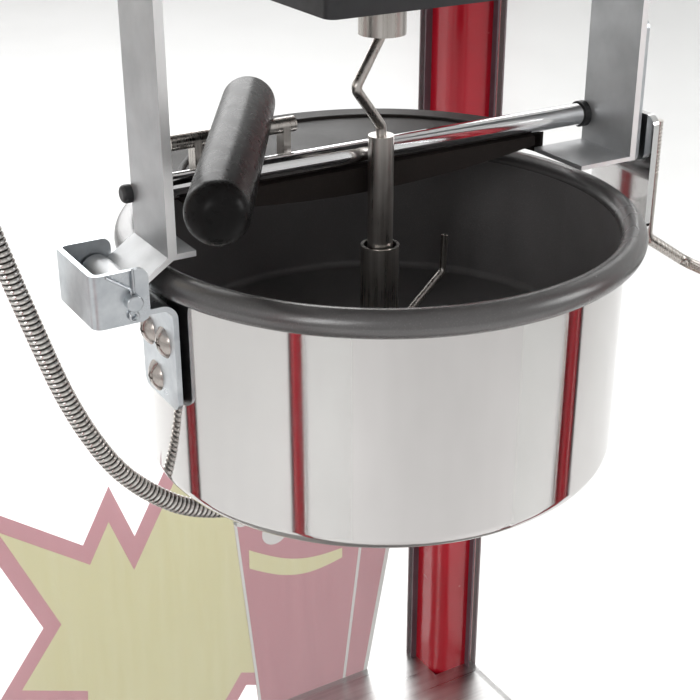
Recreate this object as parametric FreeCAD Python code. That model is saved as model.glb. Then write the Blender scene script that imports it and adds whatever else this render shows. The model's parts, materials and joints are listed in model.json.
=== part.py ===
import FreeCAD, Part
import math
import os

os.makedirs("parts", exist_ok=True)
V = FreeCAD.Vector

# ---------------------------------------------------------------- driving dimensions (mm)
# Frame: origin on the floor under the middle of the whole cart as it stands with its glass doors
# open, +Z up, operator's side at -Y, customer's side at +Y, wheels at the +X end. Until a node is
# saved, Y is counted from the middle of the cabinet.
MIDDLE_Y = -64.75                   # middle of the whole cart, counted from the cabinet's middle
CAB_X, CAB_Y = 500.0, 360.0          # outside of the glass cabinet over its corner posts
POST, POST_R = 34.0, 9.0             # corner post section and its corner rounding
BOX_X, BOX_Y = 480.0, 340.0          # storage box of the cart
BOX_Z0, BOX_Z1 = 330.0, 690.0
SHEET = 1.5                          # sheet steel of boxes
TOP_Z1 = 704.0                       # top of the worktop tray
BASE_Z1 = 790.0                      # top of the drawer base
DECK_Z1 = 792.0                      # popcorn deck
CEIL_Z0 = 1355.0                     # underside of the ceiling plate
ROOF_Z0, ROOF_Z1 = 1357.0, 1462.0
PANE, PANE_OUT = 4.0, 9.0            # glass thickness, and how far its middle lies outside the posts' middle
GASKET, GASKET_W = 4.0, 6.0          # how far the gaskets stand out of the posts, and their width
DOOR_OPEN = 105.0                    # how far the glass doors stand open, degrees
LAMP_X, LAMP_Y = -120.0, 70.0
WHEEL_X, WHEEL_R, WHEEL_Y = 140.0, 200.0, 205.0
TYRE_R = 13.0                        # section radius of the solid rubber tyre
AXLE_R = 8.0
KX, KY, KZ = 71.0, -11.0, 1187.0     # kettle axis and the height of its rim
KETTLE_R, KETTLE_H = 95.5, 97.0      # outer shell
POT_R, POT_DEPTH = 92.8, 61.0        # inside of the cooking pot
RIM_R, RIM_S = 98.0, 5.2             # rolled rim: circle and section radius
HANG_Y0, HANG_Y1 = -20.0, 10.0       # hangers, measured from the kettle axis
PIN_X, PIN_Z, PIN_R = -114.0, -6.0, 3.0
LEFT_LEG_X0, LEFT_LEG_X1 = -98.6, -95.2
RIGHT_LEG_X0, RIGHT_LEG_X1 = 109.0, 112.0
BAR_Y, BAR_Z, BAR_R, JOURNAL_R = 11.0, 20.0, 4.7, 2.0
LID_R, LID_FRONT = 90.0, 6.5         # rear lid: outer radius and the place of its front skirt
LEVER_Y, LEVER_Z = 20.0, 33.0        # cross tube of the lid's lever
SHAFT_R, SLEEVE_R, SLEEVE_BORE = 5.0, 7.7, 6.5
PLATE_X = 121.0                      # outer face of the right bracket's plate
TILT_R = 2.5                         # rod of the tilt handle
# Middle line of the kettle's armoured lead, from its ceiling socket to its gland, in the kettle's frame.
ROUTE = [(-166, 20, 158), (-166, 20, 118), (-162, 20, 77), (-154.6, 20, 39), (-145.8, 20, 5),
         (-137.5, 20, -24), (-124.6, 20, -67), (-104.6, 20, -104), (-68.3, 20, -131), (-30, 20, -131)]
LEAD_R = 4.0
GLAND_X, GLAND_Y = -5.0, 20.0        # where the lead enters the kettle's base
FIT = 0.05                           # radial clearance of running fits
GAP = 0.6                            # gap between bodies that move past each other


# ---------------------------------------------------------------- helpers
def save(name, *shapes):
    """Writes one node; several shapes become separate solids of that node."""
    shape = shapes[0] if len(shapes) == 1 else Part.makeCompound(list(shapes))
    shape = shape.translated(V(0, -MIDDLE_Y, 0))
    shape.exportStep(f"parts/{name}.step")
    print(name, len(shape.Solids), round(shape.Volume))


def box(x0, x1, y0, y1, z0, z1):
    return Part.makeBox(x1 - x0, y1 - y0, z1 - z0, V(x0, y0, z0))


def cyl(base, axis, radius, length):
    return Part.makeCylinder(radius, length, V(*base), V(*axis))


def ring(base, axis, outer, inner, length):
    return cyl(base, axis, outer, length).cut(cyl(base, axis, inner, length))


def rounded(shape, radius, axis):
    """Rounds the four edges of a box that run along one axis."""
    picked = []
    for edge in shape.Edges:
        along = edge.tangentAt(edge.FirstParameter)
        if abs(along.dot(V(*axis))) > 0.99:
            picked.append(edge)
    return shape.makeFillet(radius, picked)


def kettle_frame(shape):
    """Moves a shape from the kettle's frame (axis, rim height) to the cart's frame."""
    return shape.translated(V(KX, KY, KZ))


def bent_path(points, bend):
    """Straight runs joined by tangent arcs; bend is one radius or a rule giving one per corner."""
    pts = [V(*p) for p in points]
    edges = []
    start = pts[0]
    for before, corner, after in zip(pts, pts[1:], pts[2:]):
        into = (corner - before).normalize()
        out = (after - corner).normalize()
        turn = into.getAngle(out)
        radius = bend(before, corner, after, turn) if callable(bend) else bend
        setback = radius * math.tan(turn / 2)
        a = corner - into * setback
        b = corner + out * setback
        bisector = (out - into).normalize()
        centre = corner + bisector * (radius / math.cos(turn / 2))
        mid = centre - bisector * radius
        edges.append(Part.LineSegment(start, a).toShape())
        edges.append(Part.Arc(a, mid, b).toShape())
        start = b
    edges.append(Part.LineSegment(start, pts[-1]).toShape())
    return Part.Wire(edges)


def rod(points, radius, bend):
    """Round bar along a bent path."""
    path = bent_path(points, bend)
    along = V(*points[1]) - V(*points[0])
    profile = Part.Wire([Part.makeCircle(radius, V(*points[0]), along)])
    return path.makePipeShell([profile], True, True)


def extrude_profile(outline, y0, y1):
    """Extrudes a closed X-Z outline along Y."""
    wire = Part.makePolygon([V(x, y0, z) for x, z in outline + outline[:1]])
    return Part.Face(wire).extrude(V(0, y1 - y0, 0))


def tray(x0, x1, y0, y1, z0, z1, wall):
    """Open-topped sheet box."""
    inside = box(x0 + wall, x1 - wall, y0 + wall, y1 - wall, z0 + wall, z1 + 1)
    return box(x0, x1, y0, y1, z0, z1).cut(inside)


def edges_at(shape, axis, place):
    """Edges whose middle lies at that place along one axis, 0 to 2 for X, Y or Z."""
    return [e for e in shape.Edges if abs(e.CenterOfMass[axis] - place) < 0.01]


# ---------------------------------------------------------------- cart: storage box, legs, wheels, handle
def cart():
    hx, hy = BOX_X / 2, BOX_Y / 2
    frame_w = 22.0
    shell = box(-hx, hx, -hy, hy, BOX_Z0, BOX_Z1)
    shell = shell.cut(box(-hx + SHEET, hx - SHEET, -hy + SHEET, hy - SHEET, BOX_Z0 + SHEET, BOX_Z1 - SHEET))
    door_z0, door_z1 = 2 * WHEEL_R + 20, BOX_Z1 - frame_w
    shell = shell.cut(box(-hx + frame_w, hx - frame_w, -hy - 1, -hy + 5, door_z0, door_z1))
    save("cart_box", shell)

    # door of the storage box, hinged at its -X edge, 2 mm proud of the box and clear above the wheel
    door_x0, door_x1 = -hx + frame_w - 8, hx - frame_w + 8
    door_y1 = -hy - 2.0
    panel = box(door_x0, door_x1, door_y1 - 12, door_y1, door_z0 - 8, door_z1 + 8)
    panel = rounded(panel, 5.0, (0, 1, 0))
    hollow = box(door_x0 + SHEET, door_x1 - SHEET, door_y1 - 12 + SHEET, door_y1 + 1,
                 door_z0 - 8 + SHEET, door_z1 + 8 - SHEET)
    save("cart_door", panel.cut(hollow))
    leaves, fittings = [], []
    hinge_x, hinge_y = -hx + 7, door_y1 - 5
    for z in (door_z0 + 40, door_z1 - 80):
        plate = box(hinge_x - 5, hinge_x + 5, door_y1, -hy, z, z + 40)
        knuckle = ring((hinge_x, hinge_y, z), (0, 0, 1), 4.5, 2.5 + FIT, 18)
        neck = box(hinge_x - 3, hinge_x + 3, hinge_y + 4, door_y1, z, z + 18)
        leaves.append(plate.fuse(knuckle).fuse(neck))
        pin = cyl((hinge_x, hinge_y, z), (0, 0, 1), 2.5, 40)
        barrel = cyl((hinge_x, hinge_y, z + 19), (0, 0, 1), 4.5, 21)
        strap = box(hinge_x + 1, door_x0 + 26, door_y1 - 14, door_y1 - 12, z + 19, z + 40)
        link = box(hinge_x + 1, hinge_x + 4, door_y1 - 14, hinge_y, z + 19, z + 40)
        fittings.append(pin.fuse(barrel).fuse(strap).fuse(link))
    save("cart_hinge_leaves", *leaves)
    pull_x = door_x1 - 40
    stem = cyl((pull_x, door_y1 - 12, 560), (0, -1, 0), 5, 10)
    knob = cyl((pull_x, door_y1 - 22, 560), (0, -1, 0), 14, 12)
    rims = edges_at(knob, 1, door_y1 - 22) + edges_at(knob, 1, door_y1 - 34)
    fittings.append(stem.fuse(knob.makeFillet(4, rims)))
    save("cart_door_fittings", *fittings)

    # worktop tray over the box
    worktop = rounded(box(-265, 265, -195, 195, BOX_Z1, TOP_Z1), 12.0, (0, 0, 1))
    underside = box(-263, 263, -193, 193, BOX_Z1 - 1, TOP_Z1 - SHEET)
    underside = underside.cut(box(-hx, hx, -hy, hy, BOX_Z1 - 2, TOP_Z1))
    stiffener = box(-hx + 20, hx - 20, -hy + 20, hy - 20, BOX_Z1 - 1, TOP_Z1 - SHEET)
    save("worktop", worktop.cut(underside).cut(stiffener))

    # legs at the -X end with rubber feet
    legs, feet = [], []
    for side in (-1, 1):
        y = side * (hy - 18)
        outer = rounded(box(-hx + 4, -hx + 34, y - 15, y + 15, 18, BOX_Z0), 4.0, (0, 0, 1))
        inner = box(-hx + 6, -hx + 32, y - 13, y + 13, 17, BOX_Z0 - 3)
        legs.append(outer.cut(inner))
        foot = cyl((-hx + 19, y, 0), (0, 0, 1), 19, 18)
        plug = box(-hx + 6.2, -hx + 31.8, y - 12.8, y + 12.8, 17, 42)
        feet.append(foot.makeFillet(4, edges_at(foot, 2, 0)).fuse(plug))
    stretcher = cyl((-hx + 19, -hy + 33, 120), (0, 1, 0), 8, 2 * hy - 66)
    save("rubber_feet", *feet)

    # axle under the box at the +X end
    brackets = []
    for side in (-1, 1):
        y0 = side * (hy - 20) - 3
        plate = extrude_profile([(WHEEL_X - 60, BOX_Z0), (WHEEL_X + 60, BOX_Z0), (WHEEL_X + 20, WHEEL_R - 20),
                                 (WHEEL_X - 20, WHEEL_R - 20)], y0, y0 + 6)
        foot = box(WHEEL_X - 60, WHEEL_X + 60, y0 - 12, y0 + 18, BOX_Z0 - 4, BOX_Z0)
        brackets.append(plate.fuse(foot).cut(cyl((WHEEL_X, y0 - 1, WHEEL_R), (0, 1, 0), AXLE_R, 8)))
    save("undercarriage", *legs, stretcher, *brackets)
    axle = cyl((WHEEL_X, -WHEEL_Y - 24, WHEEL_R), (0, 1, 0), AXLE_R, 2 * WHEEL_Y + 48)
    for side in (-1, 1):
        axle = axle.fuse(cyl((WHEEL_X, side * (WHEEL_Y + 21), WHEEL_R), (0, side, 0), 14, 12))
    save("axle", axle)
    for side, name in ((-1, "operator"), (1, "customer")):
        y = side * WHEEL_Y
        felloe = Part.makeTorus(WHEEL_R - TYRE_R * 2 + 2, 8, V(WHEEL_X, y, WHEEL_R), V(0, 1, 0))
        hub = cyl((WHEEL_X, y - 20, WHEEL_R), (0, 1, 0), 20, 40)
        spokes = hub
        spoke_len = WHEEL_R - TYRE_R * 2 - 4
        for k in range(10):
            a = math.radians(36 * k)
            spokes = spokes.fuse(cyl((WHEEL_X, y, WHEEL_R), (math.cos(a), 0, math.sin(a)), 4.5, spoke_len))
        wheel = spokes.fuse(felloe).cut(cyl((WHEEL_X, y - 21, WHEEL_R), (0, 1, 0), AXLE_R + FIT, 42))
        save(f"wheel_{name}", wheel)
        tyre = Part.makeTorus(WHEEL_R - TYRE_R, TYRE_R, V(WHEEL_X, y, WHEEL_R), V(0, 1, 0))
        save(f"tyre_{name}", tyre.cut(felloe))

    # push handle at the -X end: one bent tube with two grips
    bar_x = -(WHEEL_X + WHEEL_R) + 15
    post_y = hy - 22
    tube = rod([(-hx - 30, -post_y, 600), (bar_x, -post_y, 600 + 60), (bar_x, post_y, 600 + 60),
                (-hx - 30, post_y, 600)], 11, 38)
    for side in (-1, 1):
        plate = rounded(box(-hx - 5, -hx, side * post_y - 22, side * post_y + 22, 570, 630), 6, (1, 0, 0))
        tube = tube.fuse(cyl((-hx - 30, side * post_y, 600), (1, 0, 0), 11, 30)).fuse(plate)
        tube = tube.fuse(Part.makeSphere(11, V(-hx - 30, side * post_y, 600)))
    save("push_handle", tube)
    save("handle_grip", ring((bar_x, -70, 660), (0, 1, 0), 15, 11, 140))


cart()


# ---------------------------------------------------------------- drawer base, glass cabinet, roof
HALF_X, HALF_Y = CAB_X / 2, CAB_Y / 2
POST_X, POST_Y = HALF_X - POST / 2, HALF_Y - POST / 2


def base():
    shell = box(-HALF_X, HALF_X, -HALF_Y, HALF_Y, TOP_Z1, BASE_Z1)
    inner_x, inner_y = HALF_X - SHEET, HALF_Y - SHEET
    shell = shell.cut(box(-inner_x, inner_x, -inner_y, inner_y, TOP_Z1 + SHEET, BASE_Z1 + 1))
    drawer_x, drawer_z0, drawer_z1 = 150.0, 722.0, 775.0
    shell = shell.cut(box(-drawer_x, drawer_x, -HALF_Y - 1, -HALF_Y + 5, drawer_z0, drawer_z1))
    for side in (-1, 1):
        wall = box(drawer_x + 1, drawer_x + 3, -HALF_Y + 1, 130, TOP_Z1 + 1, drawer_z1 - 20)
        lip = box(drawer_x - 12, drawer_x + 1, -HALF_Y + 1, 130, drawer_z0 - 1, drawer_z0 + 1)
        runner = wall.fuse(lip)
        shell = shell.fuse(runner if side > 0 else runner.mirror(V(0, 0, 0), V(1, 0, 0)))
    save("base_box", shell)
    body = tray(-drawer_x + 3, drawer_x - 3, -HALF_Y - 3, 125, drawer_z0 + 1 + GAP, drawer_z1 - 8, 1.0)
    front = box(-drawer_x - 8, drawer_x + 8, -HALF_Y - 6, -HALF_Y - GAP, drawer_z0 - 6, drawer_z1 + 6)
    save("crumb_drawer", body.fuse(rounded(front, 4, (0, 1, 0))))
    save("drawer_pull", rod([(-45, -HALF_Y - 6, 748), (-45, -HALF_Y - 30, 748), (45, -HALF_Y - 30, 748),
                             (45, -HALF_Y - 6, 748)], 4, 9))

    deck = box(-HALF_X, HALF_X, -HALF_Y, HALF_Y, BASE_Z1, DECK_Z1)
    for sx in (-1, 1):
        for sy in (-1, 1):
            deck = deck.cut(box(sx * POST_X - POST / 2, sx * POST_X + POST / 2,
                                sy * POST_Y - POST / 2, sy * POST_Y + POST / 2, BASE_Z1 - 1, DECK_Z1 + 1))
    for row in range(4):
        for column in range(7):
            x, y = -120 + 40 * column, -90 + 50 * row
            deck = deck.cut(box(x - 12, x + 12, y - 2.5, y + 2.5, BASE_Z1 - 1, DECK_Z1 + 1))
    save("deck_plate", deck)


def cabinet():
    posts, gaskets = [], []
    for sx in (-1, 1):
        for sy in (-1, 1):
            post = box(sx * POST_X - POST / 2, sx * POST_X + POST / 2,
                       sy * POST_Y - POST / 2, sy * POST_Y + POST / 2, BASE_Z1, CEIL_Z0)
            post = rounded(post, POST_R, (0, 0, 1))
            core = box(sx * POST_X - POST / 2 + 2, sx * POST_X + POST / 2 - 2, sy * POST_Y - POST / 2 + 2,
                       sy * POST_Y + POST / 2 - 2, BASE_Z1 - 1, CEIL_Z0 + 1)
            posts.append(post.cut(rounded(core, POST_R - 2, (0, 0, 1))))
    save("corner_posts", *posts)
    inner_x, inner_y = POST_X - POST / 2, POST_Y - POST / 2
    panes = []
    half_pane, half_gasket = PANE / 2, GASKET_W / 2
    for sx in (-1, 1):
        x = sx * (POST_X + PANE_OUT)
        pane = box(x - half_pane, x + half_pane, -inner_y, inner_y, DECK_Z1, CEIL_Z0)
        panes.append(pane)
        for sy in (-1, 1):
            y0, y1 = sorted((sy * inner_y, sy * (inner_y - GASKET)))
            strip = box(x - half_gasket, x + half_gasket, y0, y1, DECK_Z1, CEIL_Z0)
            gaskets.append(strip.cut(pane))
    y = POST_Y + PANE_OUT
    customer = box(-inner_x, inner_x, y - half_pane, y + half_pane, DECK_Z1, CEIL_Z0)
    save("cabinet_panes", *panes, customer)
    for sx in (-1, 1):
        x0, x1 = sorted((sx * inner_x, sx * (inner_x - GASKET)))
        strip = box(x0, x1, y - half_gasket, y + half_gasket, DECK_Z1, CEIL_Z0)
        gaskets.append(strip.cut(customer))
    save("pane_gaskets", *gaskets)

    # glass doors of the operator's side, each on a round stile that pivots in two sockets
    hinge_x, hinge_y = inner_x - 8, -POST_Y - 5
    sockets = []
    for sx, name in ((-1, "left"), (1, "right")):
        x = sx * hinge_x
        stile = cyl((x, hinge_y, DECK_Z1 + 7), (0, 0, 1), 6, CEIL_Z0 - DECK_Z1 - 14)
        pins = cyl((x, hinge_y, DECK_Z1 + 1), (0, 0, 1), 3, CEIL_Z0 - DECK_Z1 - 2)
        x0, x1 = sorted((sx * 2.0, sx * (hinge_x - 3)))
        glass = box(x0, x1, hinge_y - 2, hinge_y + 2, DECK_Z1 + 10, CEIL_Z0 - 10)
        clips = []
        for z in (DECK_Z1 + 40, CEIL_Z0 - 90):
            c0, c1 = sorted((x, sx * (hinge_x - 26)))
            clips.append(box(c0, c1, hinge_y - 5, hinge_y + 5, z, z + 50))
        knob_x = sx * 24
        knob = cyl((knob_x, hinge_y - 18, 1070), (0, 1, 0), 12, 16)
        knob = knob.makeFillet(5, edges_at(knob, 1, hinge_y - 18))
        screw = cyl((knob_x, hinge_y - 3, 1070), (0, 1, 0), 3, 6)
        washer = cyl((knob_x, hinge_y + 2, 1070), (0, 1, 0), 9, 5)
        knob = knob.fuse(screw).fuse(washer)
        turn = (V(x, hinge_y, 0), V(0, 0, 1), sx * DOOR_OPEN)
        frame = stile.fuse(pins).fuse(clips[0]).fuse(clips[1]).cut(glass)
        glass = glass.cut(screw)
        save(f"door_{name}_frame", frame.rotate(*turn), knob.rotate(*turn))
        save(f"door_{name}_glass", glass.rotate(*turn))
        for z in (DECK_Z1, CEIL_Z0 - 6):
            sockets.append(ring((x, hinge_y, z), (0, 0, 1), 7.5, 3 + FIT, 6))
    save("door_pivots", *sockets)


def roof():
    over = 5.0
    rx, ry = HALF_X + over, HALF_Y + over
    ceiling = box(-rx, rx, -ry, ry, CEIL_Z0, ROOF_Z0)
    for x, y in ((LAMP_X, LAMP_Y), (KX + ROUTE[0][0], KY + ROUTE[0][1])):
        ceiling = ceiling.cut(cyl((x, y, CEIL_Z0 - 1), (0, 0, 1), 6, 4))
    save("ceiling_plate", ceiling)
    shell = rounded(box(-rx, rx, -ry, ry, ROOF_Z0, ROOF_Z1), 10, (0, 0, 1))
    inside = box(-rx + SHEET, rx - SHEET, -ry + SHEET, ry - SHEET, ROOF_Z0 - 1, ROOF_Z1 - SHEET)
    shell = shell.cut(rounded(inside, 10 - SHEET, (0, 0, 1)))
    sign_x, sign_z0, sign_z1 = 190.0, ROOF_Z0 + 16, ROOF_Z1 - 16
    shell = shell.cut(box(-sign_x, sign_x, ry - 4, ry + 1, sign_z0, sign_z1))
    switches = [(x, (ROOF_Z0 + ROOF_Z1) / 2) for x in (90.0, 135.0, 180.0)]
    for x, z in switches:
        shell = shell.cut(box(x - 11, x + 11, -ry - 1, -ry + 4, z - 15, z + 15))
    save("sign_panel", box(-sign_x - 6, sign_x + 6, ry - SHEET - 3, ry - SHEET, sign_z0 - 6, sign_z1 + 6))
    cap_x, cap_y, cap_z = rx - 18, ry - 18, 22.0
    cap = roof_cap(cap_x, cap_y, cap_z).cut(roof_cap(cap_x - SHEET, cap_y - SHEET, cap_z - SHEET))
    save("roof_shell", shell.fuse(cap))
    bezels = []
    for number, (x, z) in enumerate(switches, 1):
        frame = box(x - 13, x + 13, -ry - 2, -ry, z - 17, z + 17)
        frame = frame.fuse(box(x - 11, x + 11, -ry, -ry + 18, z - 15, z + 15))
        frame = frame.cut(box(x - 9, x + 9, -ry - 3, -ry + 14, z - 13, z + 13))
        for pivot_x in (x - 9.5, x + 8.5):
            frame = frame.fuse(cyl((pivot_x, -ry + 6, z), (1, 0, 0), 1.5, 1.0))
        bezels.append(frame)
        save(f"rocker_{number}", rocker_key(x, -ry, z))
    save("switch_bezels", *bezels)

    lamp_socket = ring((LAMP_X, LAMP_Y, CEIL_Z0 - 24), (0, 0, 1), 17, 11, 20)
    lamp_socket = lamp_socket.fuse(cyl((LAMP_X, LAMP_Y, CEIL_Z0 - 4), (0, 0, 1), 17, 4))
    cable_x, cable_y, cable_z = (a + b for a, b in zip(ROUTE[0], (KX, KY, KZ)))
    cable_socket = cyl((cable_x, cable_y, cable_z), (0, 0, 1), 11, CEIL_Z0 - cable_z)
    save("ceiling_sockets", lamp_socket, cable_socket)
    glass = Part.makeSphere(22, V(LAMP_X, LAMP_Y, CEIL_Z0 - 62))
    save("lamp_bulb", glass.fuse(cyl((LAMP_X, LAMP_Y, CEIL_Z0 - 50), (0, 0, 1), 10.8, 45)))


def roof_cap(half_x, half_y, height):
    """Low cap with sloping sides that stands on the roof."""
    cap = rounded(box(-half_x, half_x, -half_y, half_y, ROOF_Z1 - SHEET, ROOF_Z1 + height), 14, (0, 0, 1))
    rim = [e for e in cap.Edges if abs(e.CenterOfMass.z - ROOF_Z1 - height) < 0.01]
    return cap.makeChamfer(12, rim)


def rocker_key(x, front_y, z):
    """V-shaped rocker key on a cross pin, its upper end standing proud."""
    side, reach = x - 8.6, 11.2
    outline = [V(side, front_y + 12, z - 7), V(side, front_y - 1, z - reach), V(side, front_y + 1.5, z),
               V(side, front_y - 4, z + reach), V(side, front_y + 12, z + 7)]
    key = Part.Face(Part.makePolygon(outline + outline[:1])).extrude(V(17.2, 0, 0))
    return key.cut(cyl((x - 9, front_y + 6, z), (1, 0, 0), 1.5 + FIT, 18))


# ---------------------------------------------------------------- kettle and what carries it
def kettle_body():
    """Polished shell, coated pot and rolled rim, heater and base plate."""
    rim = Part.makeTorus(RIM_R, RIM_S, V(0, 0, -RIM_S - 0.4))
    rim_middle = -RIM_S - 0.4
    outside = cyl((0, 0, -KETTLE_H), (0, 0, 1), KETTLE_R, KETTLE_H + rim_middle)
    inside = cyl((0, 0, -KETTLE_H + 1), (0, 0, 1), KETTLE_R - 1, KETTLE_H)
    outside = outside.makeFillet(5.5, edges_at(outside, 2, -KETTLE_H))
    inside = inside.makeFillet(4.5, edges_at(inside, 2, -KETTLE_H + 1))
    shell = outside.cut(inside).cut(rim).cut(cyl((0, 0, -KETTLE_H - 1), (0, 0, 1), 70, 5))
    save("kettle_shell", kettle_frame(shell))
    save("kettle_rim", kettle_frame(rim))

    wall, corner = 1.5, 3.0
    floor = -POT_DEPTH - wall
    pot = cyl((0, 0, floor), (0, 0, 1), POT_R + wall, rim_middle - floor)
    hollow = cyl((0, 0, -POT_DEPTH), (0, 0, 1), POT_R, POT_DEPTH + 10)
    hollow = hollow.makeFillet(corner, edges_at(hollow, 2, -POT_DEPTH))
    pot = pot.makeFillet(corner + wall, edges_at(pot, 2, floor)).cut(hollow).cut(rim)
    stud = cyl((0, 0, -POT_DEPTH), (0, 0, 1), SLEEVE_BORE - FIT, 28)
    save("kettle_pot", kettle_frame(pot.fuse(stud)))

    plate = cyl((0, 0, floor - 7), (0, 0, 1), 80, 7)
    groove = Part.makeTorus(58, 4, V(0, 0, floor - 7))
    thermostat = cyl((34, -24, floor - 22), (0, 0, 1), 13, 15)
    save("heater", kettle_frame(plate.fuse(groove).fuse(thermostat)))
    base_plate = cyl((0, 0, -KETTLE_H + 1), (0, 0, 1), 86, 1.5)
    base_plate = base_plate.cut(cyl((GLAND_X, GLAND_Y, -KETTLE_H), (0, 0, 1), 7, 5))
    save("kettle_base", kettle_frame(base_plate))


def screw_head(x, y, z, side):
    """Wide domed head with a small cross recess; side is the way it faces in X."""
    radius, recess = 6.0, 2.2
    dome = Part.makeSphere(radius * 1.3, V(x - side * radius * 0.83, y, z))
    dome = dome.common(cyl((x, y, z), (side, 0, 0), radius, radius))
    for dy, dz in ((0.4, recess), (recess, 0.4)):
        dome = dome.cut(box(x + side * 2.9 - 1, x + side * 2.9 + 1, y - dy, y + dy, z - dz, z + dz))
    return dome


def strap(x0, x1, y0, y1, z0, z1):
    """Flat strap with its two lower corners rounded."""
    plate = box(x0, x1, y0, y1, z0, z1)
    corners = [e for e in edges_at(plate, 2, z0) if e.BoundBox.XLength > 0.5]
    return plate.makeFillet(4.0, corners)


def left_bracket():
    """Zinc-plated U bracket with a flange that turns down into a strap; it hangs on the clevis pin."""
    x0, x1, y0, y1, z0, z1 = -128.0, -107.5, -23.0, 13.0, -14.5, 5.0
    sheet, bend, strap_x = 2.0, 6.0, -KETTLE_R - 2.2
    block = rounded(box(x0, x1 + 10, y0, y1, z0, z1), 3.5, (0, 0, 1))
    hollow = rounded(box(x0 + sheet, x1 + 20, y0 + sheet, y1 - sheet, z0 - 1, z1 + 1), 2.0, (0, 0, 1))
    cheeks = block.cut(hollow).common(box(x0, x1, y0, y1, z0, z1))
    cheeks = cheeks.makeFillet(3.5, [e for e in edges_at(cheeks, 0, x1) if e.BoundBox.YLength > 1.5])
    strap_y0, strap_y1 = y0 + 4, y1 - 2
    tray_floor = box(x0 + 1, x1, y0 + sheet, y1 - sheet, z0, z0 + sheet)
    flange = box(x1 - 4, strap_x - bend + sheet, strap_y0, strap_y1, z0, z0 + sheet)
    turn_x, turn_z = strap_x - bend + sheet, z0 + sheet - bend
    turn = ring((turn_x, strap_y0, turn_z), (0, 1, 0), bend, bend - sheet, strap_y1 - strap_y0)
    turn = turn.common(box(turn_x, turn_x + bend, strap_y0, strap_y1, turn_z, turn_z + bend))
    down = strap(strap_x, strap_x + sheet, strap_y0, strap_y1, -55.5, turn_z)
    bracket = cheeks.fuse(tray_floor).fuse(flange).fuse(turn).fuse(down)
    bracket = bracket.cut(cyl((PIN_X, y0 - 1, PIN_Z), (0, 1, 0), PIN_R, y1 - y0 + 2))
    save("left_bracket", kettle_frame(bracket))

    stub = 3.5
    hole_y = y0 - 1.3
    pin = cyl((PIN_X, y0 - stub, PIN_Z), (0, 1, 0), PIN_R, y1 - y0 + stub + 1.5)
    pin = pin.makeFillet(0.6, edges_at(pin, 1, y0 - stub))
    head = cyl((PIN_X, y1 + 0.2, PIN_Z), (0, 1, 0), 5.0, 2.0)
    pin = pin.fuse(head).cut(cyl((PIN_X, hole_y, PIN_Z - 4), (0, 0, 1), 1.0, 8))
    save("clevis_pin", kettle_frame(pin), kettle_frame(split_pin(hole_y)))


def split_pin(y):
    """Split pin up through the clevis pin: one leg left straight, the other bent over to the left."""
    wire, apart = 0.45, 0.47
    foot_z = PIN_Z - 4.2
    straight = cyl((PIN_X + apart, y, foot_z), (0, 0, 1), wire, 16.5)
    left_x = PIN_X - apart
    bent = rod([(left_x, y, foot_z), (left_x, y, PIN_Z + 4.6), (left_x - 9, y - 0.6, PIN_Z + 11)], wire, 1.5)
    eye = Part.makeTorus(1.5, 0.5, V(PIN_X, y, foot_z - 1.2), V(0, 1, 0))
    return straight.fuse(bent).fuse(eye)


def right_bracket():
    """Polished bracket at the other side; the tilt handle's rod is welded up its outer face."""
    y0, y1, z0, z1 = -23.0, 13.0, -26.5, 25.0
    sheet = 3.0
    strap_x = KETTLE_R + 0.1
    plate = rounded(box(PLATE_X - sheet, PLATE_X, y0, y1, z0, z1), 5, (1, 0, 0))
    flange = box(strap_x, PLATE_X, y0 + 4, y1 - 2, z0, z0 + 2.5)
    down = strap(strap_x, strap_x + 2, y0 + 4, y1 - 2, -62, z0 + 1)
    save("right_bracket", kettle_frame(plate.fuse(flange).fuse(down)))
    tilt_handle()


def tilt_handle():
    """Bent rod with a threaded upper end and two weld beads, and its black grip."""
    x, y, grip_x, grip_z = PLATE_X + TILT_R, -19.0, 148.5, -46.0
    handle = rod([(x, y, 22), (x, y, -29.5), (grip_x, y, grip_z), (grip_x, -84, grip_z)], TILT_R, 5)
    pitch, turns = 1.6, 13
    for turn in range(turns):
        handle = handle.cut(ring((x, y, 19 - pitch * turn), (0, 0, 1), TILT_R + 1, TILT_R - 0.45, 0.7))
    for z in (-8.0, -22.0):
        handle = handle.fuse(box(PLATE_X, x, y - 2, y + 2, z, z + 4))
    save("tilt_rod", kettle_frame(handle))
    grip = cyl((grip_x, -86, grip_z), (0, 1, 0), 8, 46)
    grip = grip.makeFillet(4, edges_at(grip, 1, -86) + edges_at(grip, 1, -40))
    save("tilt_grip", kettle_frame(grip.cut(handle)))


def hexagon(x, y, z, radius, height):
    corners = []
    for k in range(6):
        angle = math.radians(60 * k)
        corners.append(V(x + radius * math.cos(angle), y + radius * math.sin(angle), z))
    return Part.Face(Part.makePolygon(corners + corners[:1])).extrude(V(0, 0, height))


def bracket_screws():
    left_x, right_x = -KETTLE_R - 2.2, KETTLE_R + 2.1
    heads = []
    for y, z in ((5, -31), (-9, -31), (0, -48)):
        heads.append(screw_head(left_x, y, z, -1))
    for y, z in ((-12, -36), (4, -36), (-4, -53)):
        heads.append(screw_head(right_x, y, z, 1))
    save("bracket_screws", *[kettle_frame(h) for h in heads])


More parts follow.
